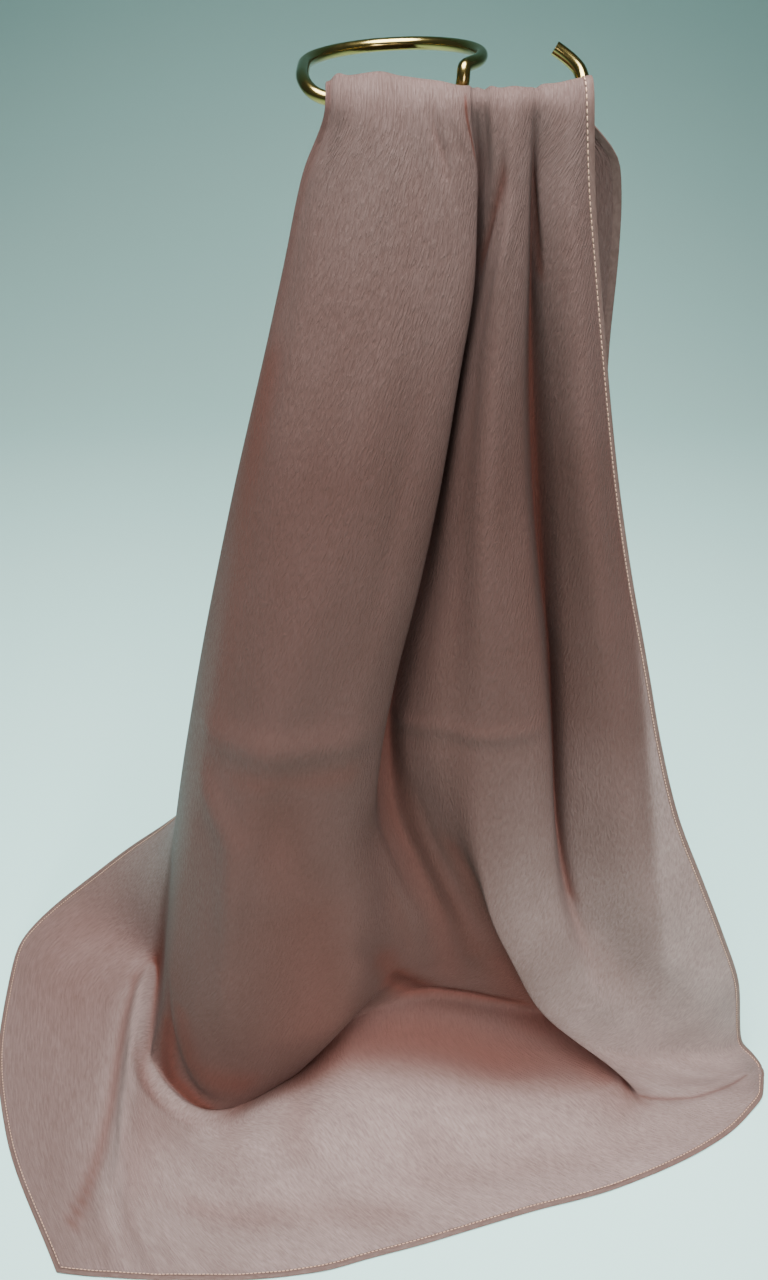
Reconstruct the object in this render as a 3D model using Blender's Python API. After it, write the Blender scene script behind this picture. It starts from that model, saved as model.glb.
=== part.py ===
"""A satin scarf hung over a bent-wire stand, its front end spread on the table.

Metres, +Z up, the front towards -Y. The tables are in millimetres, as they were
measured along each fold of the cloth, and one function turns them to metres.
"""

import math

import bmesh
import bpy
import numpy as np

# Driving dimensions in millimetres
WIRE = 6.0                    # diameter of the bent wire
BAR_HEIGHT = 690.3            # axis of the straight bar that carries the cloth
BAR_LEFT, BAR_RIGHT = -22.0, 83.0
RING_RADIUS = 41.0            # of the open ring at the left, to the wire's axis
POST_X, POST_Y = 32.0, 95.0   # the post, behind the cloth
BASE_RADIUS, BASE_THICK = 75.0, 6.0
WALL = 1.6                    # the cloth as a solid wall
HEM_WIDTH, HEM_THICK = 4.0, 0.9
SEAM = 0.3                    # space between pieces that meet
FLOOR = WALL / 2              # middle of a wall that lies on the table
ORIGIN = (-12.9, 0.9)          # middle of the footprint in the tables' own x and y

# The cloth where it lies over the bar: x, height of the top, depth in front and behind
OVER_BAR = {
    "left_hem": (8, 695.3, -6.0, 6.2),
    "margin": (-4, 695.3, -6.0, 6.2),
    "fold_back": (-16, 695.4, -6.0, 6.3),
    "left": (-25, 697.4, -7.2, 8.0),
    "shoulder_l": (-18, 701.0, -9.6, 10.6),
    "crest_l": (-2, 701.8, -10.4, 11.2),
    "shoulder_r": (20, 698.6, -9.4, 9.4),
    "lip": (36, 696.3, -8.2, 7.6),
    "tuck": (38, 695.8, -7.0, 6.8),
    "valley_1": (40, 695.1, -6.4, 6.4),
    "mid_l": (43, 695.2, -7.0, 6.6),
    "root": (48, 695.7, -7.8, 7.0),
    "crest_m": (54, 696.0, -8.4, 7.4),
    "mid_r": (63.5, 695.7, -7.2, 6.8),
    "valley_2": (66, 695.1, -6.4, 6.4),
    "right_l": (69, 697.0, -7.2, 6.8),
    "crest_r": (79, 698.6, -8.4, 7.4),
    "hem": (86.5, 698.2, -7.0, 6.8),
}
FOLDS = tuple(OVER_BAR)
HEM_LEAN = (-8.0, -3.0, 4.0)   # the right hem crosses the bar aslant: x behind, on top, in front

# The hanging cloth: x and depth of each fold at these heights above the table
HEIGHTS = (660, 620, 570, 510, 450, 390, 330, 270, 210, 150, 95)
FALL = {
    "left_hem": ((4, 3), (-4, 8), (-14, 14), (-28, 22), (-44, 32), (-60, 43),
                 (-80, 56), (-102, 70), (-132, 88), (-177, 112), (-226, 133)),
    "left": ((-37, 2), (-48, 6), (-62, 10), (-79, 16), (-95, 23), (-111, 30),
             (-126, 38), (-140, 46), (-153, 55), (-166, 64), (-178, 74)),
    "crest_l": ((-1, -15), (-5, -20), (-14, -26), (-26, -32), (-40, -37), (-54, -41),
                (-68, -44), (-82, -46), (-95, -47), (-108, -48), (-119, -48)),
    "lip": ((42, -9), (43, -11), (37, -13), (29, -14), (19, -15), (7, -15),
            (-2, -15), (-6, -12), (2, -9), (8, -6), (2, -3)),
    "tuck": ((40, -3), (37, 0), (28, 2), (19, 4), (9, 5), (-2, 6),
             (-8, 4), (-3, 2), (12, 3), (24, 4), (24, 6)),
    "valley_1": ((43, 0), (43, 5), (37, 9), (28, 13), (18, 16), (8, 17),
                 (3, 15), (6, 11), (24, 9), (42, 9), (48, 12)),
    "mid_l": ((46, -5), (46, -5), (41, -5), (35, -5), (29, -5), (19, -5),
              (14, -5), (24, -5), (42, -3), (62, 1), (74, 8)),
    "root": ((51, -10), (51, -12), (48, -13), (45, -15), (42, -16), (39, -18),
             (38, -19), (46, -17), (68, -12), (95, -6), (119, 0)),
    "crest_m": ((56, -12), (56, -15), (55, -18), (55, -21), (56, -24), (58, -26),
                (60, -28), (62, -30), (70, -31), (91, -29), (114, -25)),
    "mid_r": ((65, -7), (67, -8), (68, -9), (73, -10), (83, -11), (94, -12),
              (103, -13), (109, -15), (117, -18), (134, -21), (156, -22)),
    "valley_2": ((67, -1), (70, 4), (74, 8), (81, 12), (90, 15), (100, 15),
                 (107, 11), (113, 4), (124, -4), (145, -12), (172, -18)),
    "right_l": ((70, -6), (74, -6), (82, -6), (91, -6), (100, -6), (107, -6),
                (113, -7), (119, -8), (132, -10), (156, -13), (186, -16)),
    "crest_r": ((82, -11), (88, -14), (97, -16), (107, -18), (118, -19), (130, -20),
                (142, -21), (155, -22), (173, -22), (198, -20), (226, -15)),
    "hem": ((94, -6), (101, -5), (111, -5), (124, -5), (139, -5), (156, -5),
            (173, -5), (193, -5), (219, -4), (245, -2), (267, 0)),
}

# The cloth on the table: each fold's foot, rim, apron, skirt and edge as x, depth, height
SPREAD = {
    "left_hem": ((-290, 141, 30), (-327, 118, 2), (-315, 20, 1), (-284, -66, 1), (-221, -163, 1)),
    "margin": ((-258, 122, 22), (-290, 88, 5), (-280, 8, 3), (-256, -76, 3), (-204, -165, 1)),
    "fold_back": ((-228, 104, 14), (-248, 68, 8), (-243, -4, 7), (-229, -84, 6), (-188, -166, 1)),
    "left": ((-199, 86, 7), (-215, 46, 9), (-212, -20, 10), (-204, -92, 7), (-172, -167, 1)),
    "shoulder_l": ((-187, 0, 5), (-199, -16, 9), (-196, -52, 9), (-182, -108, 5), (-146, -168, 1)),
    "crest_l": ((-130, -49, 5), (-134, -65, 7), (-134, -88, 8), (-126, -126, 5), (-102, -168, 1)),
    "shoulder_r": ((-70, -28, 18), (-68, -42, 21), (-67, -70, 16), (-62, -116, 7), (-46, -163, 1)),
    "lip": ((-22, -6, 64), (-20, -26, 50), (-19, -58, 31), (-17, -106, 10), (-6, -153, 1)),
    "tuck": ((12, 5, 66), (14, -16, 52), (14, -52, 32), (16, -100, 11), (26, -145, 1)),
    "valley_1": ((45, 12, 62), (48, -12, 50), (50, -48, 31), (54, -94, 11), (64, -134, 1)),
    "mid_l": ((84, 8, 58), (88, -14, 46), (92, -46, 29), (98, -86, 11), (106, -122, 1)),
    "root": ((148, 2, 50), (167, -8, 33), (183, -30, 18), (172, -70, 8), (158, -109, 1)),
    "crest_m": ((146, -27, 58), (171, -33, 38), (192, -44, 22), (207, -62, 10), (212, -89, 1)),
    "mid_r": ((188, -23, 38), (208, -28, 26), (224, -38, 15), (236, -52, 8), (243, -74, 1)),
    "valley_2": ((206, -20, 32), (228, -25, 20), (245, -33, 11), (256, -45, 6), (263, -62, 1)),
    "right_l": ((221, -17, 30), (245, -21, 17), (262, -28, 9), (273, -37, 5), (280, -48, 1)),
    "crest_r": ((255, -10, 24), (272, -13, 13), (284, -18, 7), (291, -24, 3), (295, -32, 1)),
    "hem": ((286, 2, 17), (294, 0, 8), (299, -4, 3), (301, -8, 1), (301, -14, 1)),
}

# The flat flanks between ridge and valley that the fall is cut into, from fold to fold
FLANKS = (
    ("margin_left", "left_hem", "left"),
    ("left_flank_outer", "left", "crest_l"),
    ("left_flank_inner", "crest_l", "valley_1"),
    ("middle_flank_left", "valley_1", "crest_m"),
    ("middle_flank_right", "crest_m", "valley_2"),
    ("right_flank_inner", "valley_2", "crest_r"),
    ("right_flank_outer", "crest_r", "hem"),
)

# The fall behind the bar: height, left edge, right edge, depth, height of its waves
BACK = (
    (660, -28, 102, 15, 2),
    (620, -30, 108, 22, 4),
    (570, -34, 112, 29, 6),
    (500, -38, 126, 37, 8),
    (420, -42, 152, 45, 10),
    (330, -46, 178, 52, 11),
    (240, -52, 194, 59, 12),
    (150, -60, 210, 66, 12),
    (80, -66, 222, 71, 13),
    (26, -70, 230, 74, 13),
)
BACK_WAVES = 3
BACK_DROP = 0.7               # how far below the front sheet's rear edge it starts

# The wire's route: free tip, bar, open ring, neck and post
TIP = ((73, 12, 708.5), (78, 11.8, 706.9), (83.5, 11.2, 704.4), (87.8, 9.4, 700.3), (89.3, 5.6, 695.6),
       (87.4, 1.4, 691.4))
NECK = ((35, 13, 695), (32.5, 15, 688), (32, 24, 678), (32, 48, 660), (32, 74, 632))
NECK_LOW = 590.0


def metres(points):
    """Table millimetres to metres, measured from the middle of the footprint."""
    return (np.asarray(points, float) - (ORIGIN[0], ORIGIN[1], 0.0)) / 1000.0


def smooth(stops, values, at):
    """Monotone cubic through values at stops, so that no fold swings past its table value."""
    values = np.asarray(values, float)
    shape = (-1,) + (1,) * (values.ndim - 1)
    step = np.diff(stops).reshape(shape)
    slope = np.diff(values, axis=0) / step
    before, after = slope[:-1], slope[1:]
    w1, w2 = 2 * step[1:] + step[:-1], step[1:] + 2 * step[:-1]
    same = before * after > 0
    safe_b, safe_a = np.where(same, before, 1.0), np.where(same, after, 1.0)
    inner = np.where(same, (w1 + w2) / (w1 / safe_b + w2 / safe_a), 0.0)
    tangent = np.concatenate([slope[:1], inner, slope[-1:]])
    index = np.clip(np.searchsorted(stops, at, side="right") - 1, 0, len(stops) - 2)
    width = np.diff(stops)[index].reshape(shape)
    t = ((at - stops[index]) / np.diff(stops)[index]).reshape(shape)
    return (
        (2 * t**3 - 3 * t**2 + 1) * values[index]
        + (t**3 - 2 * t**2 + t) * width * tangent[index]
        + (3 * t**2 - 2 * t**3) * values[index + 1]
        + (t**3 - t**2) * width * tangent[index + 1]
    )


def arc_stops(grid, axis):
    """Mean distance along one direction of a grid of points, from 0 up."""
    steps = np.linalg.norm(np.diff(grid, axis=axis), axis=-1).mean(axis=1 - axis)
    return np.concatenate([[0.0], np.cumsum(steps)])


def between(stops, pieces):
    """Places along stops, with the same number of pieces between each two."""
    return np.concatenate(
        [np.linspace(a, b, pieces, endpoint=False) for a, b in zip(stops, stops[1:])] + [stops[-1:]]
    )


def hanging_row(level):
    """Every fold at one height, with the folds between the table's own worked out."""
    at = {name: np.array(rows[level], float) for name, rows in FALL.items()}
    quarter = math.sqrt(0.5)
    outward = np.array((-4.0, 3.0))
    at["margin"] = at["left_hem"] * 0.64 + at["left"] * 0.36 + outward
    at["fold_back"] = at["left_hem"] * 0.28 + at["left"] * 0.72 + outward
    for name, side in (("shoulder_l", "left"), ("shoulder_r", "lip")):
        crest, edge = at["crest_l"], at[side]
        at[name] = np.array((crest[0] + quarter * (edge[0] - crest[0]),
                             edge[1] + quarter * (crest[1] - edge[1])))
    return [(*at[name], HEIGHTS[level]) for name in FOLDS]


def front_table():
    """Rows of fold points from behind the bar, over it, down and out to the end hem."""
    over = [OVER_BAR[name] for name in FOLDS]
    rows = [[(x, back, BAR_HEIGHT - 2.5) for x, top, front, back in over]]
    rows.append([(x, (front + back) / 2, top) for x, top, front, back in over])
    rows.append([(x, front, BAR_HEIGHT - 0.5) for x, top, front, back in over])
    rows += [hanging_row(level) for level in range(len(HEIGHTS))]
    rows += [[SPREAD[name][stop] for name in FOLDS] for stop in range(5)]
    table = np.array(rows, float)
    table[:3, -1, 0] += HEM_LEAN
    table[:3, -2, 0] += np.array(HEM_LEAN) * 0.35
    table[..., 2] = np.maximum(table[..., 2], FLOOR)
    return table


def surface(table, rows_at, folds_at, row_stops, fold_stops):
    """The sheet's middle surface at these places along and across it."""
    down = smooth(row_stops, table, rows_at)
    sheet = smooth(fold_stops, np.swapaxes(down, 0, 1), folds_at)
    sheet = np.swapaxes(sheet, 0, 1)
    sheet[..., 2] = np.maximum(sheet[..., 2], FLOOR)
    return sheet


def directions(sheet, axis):
    """At each point of a grid, the middle direction of the two steps that meet there."""
    steps = np.diff(sheet, axis=axis)
    steps = steps / np.maximum(np.linalg.norm(steps, axis=-1, keepdims=True), 1e-9)
    before = np.concatenate([steps.take([0], axis), steps], axis=axis)
    after = np.concatenate([steps, steps.take([-1], axis)], axis=axis)
    return before + after


def normals(sheet):
    """Unit normals of a grid, towards the side that shows in front."""
    facing = np.cross(directions(sheet, 0), directions(sheet, 1))
    return facing / np.maximum(np.linalg.norm(facing, axis=-1, keepdims=True), 1e-9)


def parted(sheet, first_row=False, last_row=False, first_fold=False, last_fold=False):
    """The grid with half a seam's space taken off the edges named."""
    sheet = sheet.copy()
    for wanted, edge, inside in ((first_row, 0, 1), (last_row, -1, -2)):
        if wanted:
            pull = sheet[inside] - sheet[edge]
            sheet[edge] += pull * (SEAM / 2) / np.linalg.norm(pull, axis=-1, keepdims=True)
    for wanted, edge, inside in ((first_fold, 0, 1), (last_fold, -1, -2)):
        if wanted:
            pull = sheet[:, inside] - sheet[:, edge]
            sheet[:, edge] += pull * (SEAM / 2) / np.linalg.norm(pull, axis=-1, keepdims=True)
    return sheet


def material(name, rgb, roughness, metallic=0.0):
    made = bpy.data.materials.new(name)
    made.use_nodes = True
    shader = made.node_tree.nodes["Principled BSDF"]
    shader.inputs["Base Color"].default_value = (*rgb, 1.0)
    shader.inputs["Roughness"].default_value = roughness
    shader.inputs["Metallic"].default_value = metallic
    return made


def add(name, mesh, finish):
    obj = bpy.data.objects.new(name, mesh)
    bpy.context.collection.objects.link(obj)
    obj.data.materials.append(finish)
    return obj


def wall(name, outer, inner, finish):
    """A closed wall between two grids of points of the same size."""
    rows, folds = outer.shape[:2]
    shell = bmesh.new()
    front = [[shell.verts.new(metres(p)) for p in row] for row in outer]
    back = [[shell.verts.new(metres(p)) for p in row] for row in inner]
    for i in range(rows - 1):
        for j in range(folds - 1):
            shell.faces.new((front[i][j], front[i + 1][j], front[i + 1][j + 1], front[i][j + 1]))
            shell.faces.new((back[i][j], back[i][j + 1], back[i + 1][j + 1], back[i + 1][j]))
    for i in range(rows - 1):
        shell.faces.new((front[i][0], back[i][0], back[i + 1][0], front[i + 1][0]))
        shell.faces.new((front[i][-1], front[i + 1][-1], back[i + 1][-1], back[i][-1]))
    for j in range(folds - 1):
        shell.faces.new((front[0][j], front[0][j + 1], back[0][j + 1], back[0][j]))
        shell.faces.new((front[-1][j], back[-1][j], back[-1][j + 1], front[-1][j + 1]))
    for face in shell.faces:
        face.smooth = True
    mesh = bpy.data.meshes.new(name)
    shell.to_mesh(mesh)
    shell.free()
    return add(name, mesh, finish)


def cloth_wall(name, sheet, facing, finish):
    outer = sheet + facing * WALL / 2
    inner = sheet - facing * WALL / 2
    inner[..., 2] = np.maximum(inner[..., 2], 0.0)
    return wall(name, outer, inner, finish)


def hem_strip(name, sheet, facing, finish):
    """A narrow band that lies on the wall's showing side."""
    low = WALL / 2 + SEAM
    return wall(name, sheet + facing * (low + HEM_THICK), sheet + facing * low, finish)


def front_cloth(finish, hem_finish):
    """The front end of the scarf: the falls, the spread and the turned left margin."""
    table = front_table()
    row_stops, fold_stops = arc_stops(table, 0), arc_stops(table, 1)
    rows_at = np.concatenate([
        between(row_stops[:3], 3), between(row_stops[2:], 2), [row_stops[-1] - HEM_WIDTH]])
    folds_at = np.concatenate([
        between(fold_stops, 2), [fold_stops[0] + HEM_WIDTH, fold_stops[-1] - HEM_WIDTH]])
    rows_at, folds_at = np.unique(rows_at), np.unique(folds_at)
    sheet = surface(table, rows_at, folds_at, row_stops, fold_stops)
    facing = normals(sheet)

    foot = int(np.searchsorted(rows_at, row_stops[3 + len(HEIGHTS)]))
    fall, fall_facing = sheet[:foot + 1], facing[:foot + 1]
    for number, (name, start, end) in enumerate(FLANKS):
        first, last = (int(np.searchsorted(folds_at, fold_stops[FOLDS.index(fold)]))
                       for fold in (start, end))
        piece = parted(fall[:, first:last + 1], first_row=number > 0, last_row=True,
                       first_fold=number > 0, last_fold=end != "hem")
        cloth_wall(name, piece, fall_facing[:, first:last + 1], finish)
    left = int(np.searchsorted(folds_at, fold_stops[FOLDS.index("left")]))
    cloth_wall("spread_front", parted(sheet[foot:, left:], first_row=True, first_fold=True),
               facing[foot:, left:], finish)
    cloth_wall("flap_left", parted(sheet[foot:, :left + 1], first_row=True, last_fold=True),
               facing[foot:, :left + 1], finish)

    side = parted(sheet[:-1, -2:], last_row=True)
    hem_strip("hem_right", side, facing[:-1, -2:], hem_finish)
    start = int(np.searchsorted(rows_at, row_stops[4]))    # above this it lies inside the folds
    side = parted(sheet[start:-1, :2], last_row=True)
    hem_strip("hem_left", side, facing[start:-1, :2], hem_finish)
    hem_strip("hem_end", sheet[-2:], facing[-2:], hem_finish)
    return sheet[0, left:]


def back_cloth(top_edge, finish, hem_finish):
    """The plain fall behind the bar, which starts at the front sheet's rear edge."""
    share = np.linspace(0.0, 1.0, len(top_edge))
    rows = [top_edge - (0.0, 0.0, BACK_DROP)]
    for height, left, right, depth, wave in BACK:
        x = left + (right - left) * share
        y = depth + wave * np.cos(2 * math.pi * BACK_WAVES * share)
        rows.append(np.stack([x, y, np.full_like(x, height)], axis=-1))
    table = np.array(rows)
    row_stops = arc_stops(table, 0)
    rows_at = np.unique(np.append(between(row_stops, 2), row_stops[-1] - HEM_WIDTH))
    sheet = smooth(row_stops, table, rows_at)[:, ::-1]   # so that it faces backwards
    facing = normals(sheet)
    ends = np.linspace(0, sheet.shape[1] - 1, BACK_WAVES + 1).round().astype(int)
    for name, start, end in zip(("back_wave_right", "back_wave_middle", "back_wave_left"), ends, ends[1:]):
        body = parted(sheet[:, start:end + 1], first_row=True, first_fold=start > 0,
                      last_fold=end < sheet.shape[1] - 1)
        out = facing[:, start:end + 1]
        wall(name, body + out * WALL / 2, body - out * WALL / 2, finish)
    low = WALL / 2 + SEAM
    end, out = sheet[-2:], facing[-2:]
    wall("hem_back", end + out * (low + HEM_THICK), end + out * low, hem_finish)


def wire_route():
    """Points of the wire's axis from the free tip to the foot of the post."""
    bar = [(x, 0.0, BAR_HEIGHT) for x in np.linspace(BAR_RIGHT, BAR_LEFT, 8)]
    turn = [(-29, 1.5, BAR_HEIGHT + 1.5), (-34, 7, BAR_HEIGHT + 4.5), (-36.5, 18, BAR_HEIGHT + 7.5)]
    ring = []
    for angle in range(180, -41, -20):
        a = math.radians(angle)
        y = 41.0 + RING_RADIUS * math.sin(a)
        ring.append((4.0 + RING_RADIUS * math.cos(a), y, 699.0 + 0.075 * y + 2.0 * math.cos(a)))
    post = [(POST_X, POST_Y, z) for z in np.linspace(NECK_LOW, BASE_THICK + SEAM, 6)]
    return np.array([*TIP, *bar, *turn, *ring, *NECK, *post])


def wire(finish):
    """One bent wire: free tip, bar, open ring, neck and post."""
    route = wire_route()
    stops = np.concatenate([[0.0], np.cumsum(np.linalg.norm(np.diff(route, axis=0), axis=1))])
    bends = smooth(stops, route, np.unique(np.concatenate([between(stops, 2)])))
    curve = bpy.data.curves.new("wire", "CURVE")
    curve.dimensions = "3D"
    curve.bevel_depth = WIRE / 2000.0
    curve.bevel_resolution = 2
    curve.use_fill_caps = True
    spline = curve.splines.new("POLY")
    spline.points.add(len(bends) - 1)
    for point, place in zip(spline.points, metres(bends)):
        point.co = (*place, 1.0)
    return add("wire", curve, finish)


def base(finish):
    """The round foot plate under the post."""
    disc = bmesh.new()
    bmesh.ops.create_cone(disc, cap_ends=True, segments=32, radius1=BASE_RADIUS / 1000,
                          radius2=BASE_RADIUS / 1000, depth=BASE_THICK / 1000)
    mesh = bpy.data.meshes.new("base")
    disc.to_mesh(mesh)
    disc.free()
    mesh.shade_smooth()
    obj = add("base", mesh, finish)
    obj.location = metres((POST_X, POST_Y, BASE_THICK / 2))
    edge = obj.modifiers.new("edge", "BEVEL")
    edge.width, edge.segments = 0.0012, 1
    mesh.set_sharp_from_angle(angle=math.radians(40))
    return obj


def main():
    for obj in list(bpy.data.objects):
        bpy.data.objects.remove(obj)
    satin = material("rose_satin", (0.47, 0.27, 0.24), 0.5)
    hem_satin = material("hem_satin", (0.40, 0.22, 0.19), 0.55)
    brass = material("brass_wire", (0.56, 0.45, 0.2), 0.25, 1.0)
    top_edge = front_cloth(satin, hem_satin)
    back_cloth(top_edge, satin, hem_satin)
    wire(brass)
    base(brass)


main()
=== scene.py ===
# %% [markdown]
# # A satin scarf over a bent-wire stand
# This lesson dresses a plain solid model of a scarf. The real one is a single
# rectangle of thin dusty-rose satin with a narrow stitched hem. It hangs over the
# bar of a brass-coloured wire stand, and its front end spreads on the table.
# The solids give the size and the big folds. Here each stretch of cloth is made
# again as a thin, finely divided sheet, then hemmed, stitched and given its finish.

# %% Load the solid model
import math

import bpy
import numpy as np
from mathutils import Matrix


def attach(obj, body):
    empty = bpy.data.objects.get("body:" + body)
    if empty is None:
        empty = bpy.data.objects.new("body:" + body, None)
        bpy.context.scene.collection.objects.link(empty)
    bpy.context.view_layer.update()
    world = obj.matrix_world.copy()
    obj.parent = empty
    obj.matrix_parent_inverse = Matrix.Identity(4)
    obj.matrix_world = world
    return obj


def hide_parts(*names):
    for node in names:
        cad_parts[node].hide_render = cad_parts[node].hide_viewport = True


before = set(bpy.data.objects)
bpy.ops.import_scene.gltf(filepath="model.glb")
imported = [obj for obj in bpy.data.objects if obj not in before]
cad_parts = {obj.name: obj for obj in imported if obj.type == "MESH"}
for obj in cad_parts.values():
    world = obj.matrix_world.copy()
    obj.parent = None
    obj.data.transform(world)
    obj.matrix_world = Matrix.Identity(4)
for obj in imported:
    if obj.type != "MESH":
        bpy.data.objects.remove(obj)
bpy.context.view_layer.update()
bpy.ops.object.select_all(action="DESELECT")
print("solids:", sorted(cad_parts))

# %% [markdown]
# ## Camera, table and light
# The scarf was seen from a little above, with the whole stand in view. A phone's
# lens is short, so near cloth looks larger than the ring at the top. The table is a
# pale sheet that curves up behind, as in a small photo tent, so that the light
# has no edges. A wide soft lamp above gives the satin its slow change from light to
# dark, and a weak one low in front reaches into the lower folds.

# %% Camera
def link_object(name, data):
    """A new object with this data, in the scene."""
    made = bpy.data.objects.new(name, data)
    bpy.context.scene.collection.objects.link(made)
    return made


FOCAL_PIXELS, LONG_SIDE = 1050, 1280        # focal length in pixels over the picture's long side
camera_data = bpy.data.cameras.new("camera")
camera_data.sensor_width = 36.0
camera_data.lens = FOCAL_PIXELS / LONG_SIDE * camera_data.sensor_width
camera_data.clip_end = 50.0
camera = link_object("camera", camera_data)
camera.location = (0.0129, -0.5129, 0.751)
camera.rotation_euler = (math.radians(56.0), 0.0, 0.0)      # 34 degrees down
bpy.context.scene.camera = camera
print("lens", round(camera_data.lens, 2), "mm")


# %% Colours and nodes
def colour(hex_text, alpha=1.0):
    """An sRGB hex value as the linear colour that shaders work in."""
    parts = [int(hex_text[i:i + 2], 16) / 255 for i in (1, 3, 5)]
    return (*(c / 12.92 if c <= 0.04045 else ((c + 0.055) / 1.055) ** 2.4 for c in parts), alpha)


def add_node(tree, kind, settings=None, **inputs):
    """One shader node: its settings by attribute, and a value or a link for each input."""
    made = tree.nodes.new(kind)
    for key, value in (settings or {}).items():
        setattr(made, key, value)
    for key, value in inputs.items():
        socket = made.inputs[int(key[1:]) if key[1:].isdigit() else key.replace("_", " ")]
        if isinstance(value, bpy.types.NodeSocket):
            tree.links.new(value, socket)
        else:
            socket.default_value = value
    return made


def mix_colours(tree, share, first, second):
    """Two colours mixed by a share: each is a hex value or another node's output."""
    made = add_node(tree, "ShaderNodeMix", {"data_type": "RGBA"}, Factor=share)
    for socket, value in ((made.inputs[6], first), (made.inputs[7], second)):
        if isinstance(value, str):
            socket.default_value = colour(value)
        else:
            tree.links.new(value, socket)
    return made.outputs[2]


def new_material(name):
    """An empty material with its output, ready for nodes."""
    made = bpy.data.materials.new(name)
    made.use_nodes = True
    made.node_tree.nodes.clear()
    return made, made.node_tree


def finish_material(tree, shader):
    output = tree.nodes.new("ShaderNodeOutputMaterial")
    tree.links.new(shader.outputs[0], output.inputs["Surface"])


# %% Table and backdrop in one sweep
backdrop, tree = new_material("matt_white_paper")
finish_material(tree, add_node(tree, "ShaderNodeBsdfPrincipled",
                               Base_Color=colour("#c5ece7"), Roughness=0.9))
TABLE_END, SWEEP_RADIUS, SWEEP_SIDE = 1.3, 1.6, 5.0      # metres
profile = [(-3.0, 0.0), (TABLE_END, 0.0)]
profile += [(TABLE_END + SWEEP_RADIUS * math.sin(a), SWEEP_RADIUS - SWEEP_RADIUS * math.cos(a))
            for a in np.linspace(0.08, math.pi / 2, 16)]
profile.append((TABLE_END + SWEEP_RADIUS, 6.0))
corners = [(x, y, z) for y, z in profile for x in (-SWEEP_SIDE, SWEEP_SIDE)]
faces = [(2 * i, 2 * i + 1, 2 * i + 3, 2 * i + 2) for i in range(len(profile) - 1)]
sweep_mesh = bpy.data.meshes.new("table_sweep")
sweep_mesh.from_pydata(corners, [], faces)
sweep = link_object("table_sweep", sweep_mesh)
sweep_mesh.materials.append(backdrop)
sweep_mesh.shade_smooth()
sweep.location.z = -0.0005    # a hair under the cloth
print("sweep of", len(faces), "strips")


# %% Soft lamps
def soft_lamp(name, place, aim, size, watts, tint, spread):
    """A round lamp turned to its aim; spread is the angle of its beam in degrees."""
    data = bpy.data.lights.new(name, "AREA")
    data.shape, data.size, data.energy = "DISK", size, watts
    data.color, data.spread = colour(tint)[:3], math.radians(spread)
    lamp = link_object(name, data)
    lamp.location = place
    away = np.array(place, float) - np.array(aim, float)
    flat = math.hypot(away[0], away[1])
    lamp.rotation_euler = (math.atan2(flat, away[2]), 0.0, math.atan2(away[0], -away[1]))


soft_lamp("lamp_above", (-0.05, -0.42, 1.9), (0.0, 0.0, 0.3), 1.2, 53.0, "#f2faf8", spread=125.0)
soft_lamp("lamp_front", (0.5, -1.7, 0.6), (0.14, 0.0, 0.04), 1.0, 3.2, "#f8f2f0", spread=40.0)
world = bpy.data.worlds.new("studio")
bpy.context.scene.world = world
world.use_nodes = True
world.node_tree.nodes["Background"].inputs["Color"].default_value = colour("#d2ebe6")
world.node_tree.nodes["Background"].inputs["Strength"].default_value = 0.12
print("two lamps and an even sky")

# %% [markdown]
# ## The cloth's own sizes
# A draped scarf is easiest to describe as its maker would feel it: along each
# fold, from the bar to the hem. Each row below is one fold, in millimetres on the
# table, first where it lies over the bar, then down the fall, then out over the
# table. A smooth curve is drawn through each fold, and then across the folds, so
# the whole cloth comes from a few dozen places that can be read and changed.

# %% Sizes in millimetres
BAR_HEIGHT = 690.3
ORIGIN = (-12.9, 0.9)         # middle of the footprint in the tables' own x and y
LIFT = 0.8                    # middle of the sheet above the table
HEM_WIDTH = 4.0
CLOTH = 0.45                  # thickness of the sheet

OVER_BAR = {                  # x, height of the top, depth in front and behind
    "left_hem": (8, 695.3, -6.0, 6.2),
    "margin": (-4, 695.3, -6.0, 6.2),
    "fold_back": (-16, 695.4, -6.0, 6.3),
    "left": (-25, 697.4, -7.2, 8.0),
    "shoulder_l": (-18, 701.0, -9.6, 10.6),
    "crest_l": (-2, 701.8, -10.4, 11.2),
    "shoulder_r": (20, 698.6, -9.4, 9.4),
    "lip": (36, 696.3, -8.2, 7.6),
    "tuck": (38, 695.8, -7.0, 6.8),
    "valley_1": (40, 695.1, -6.4, 6.4),
    "mid_l": (43, 695.2, -7.0, 6.6),
    "root": (48, 695.7, -7.8, 7.0),
    "crest_m": (54, 696.0, -8.4, 7.4),
    "mid_r": (63.5, 695.7, -7.2, 6.8),
    "valley_2": (66, 695.1, -6.4, 6.4),
    "right_l": (69, 697.0, -7.2, 6.8),
    "crest_r": (79, 698.6, -8.4, 7.4),
    "hem": (86.5, 700.6, -7.0, 6.8),
}
FOLDS = tuple(OVER_BAR)
HEM_LEAN = (-1.0, 3.0, 4.0)   # the right hem crosses the bar aslant: x behind, on top, in front
print(len(FOLDS), "folds across the cloth")

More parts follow.
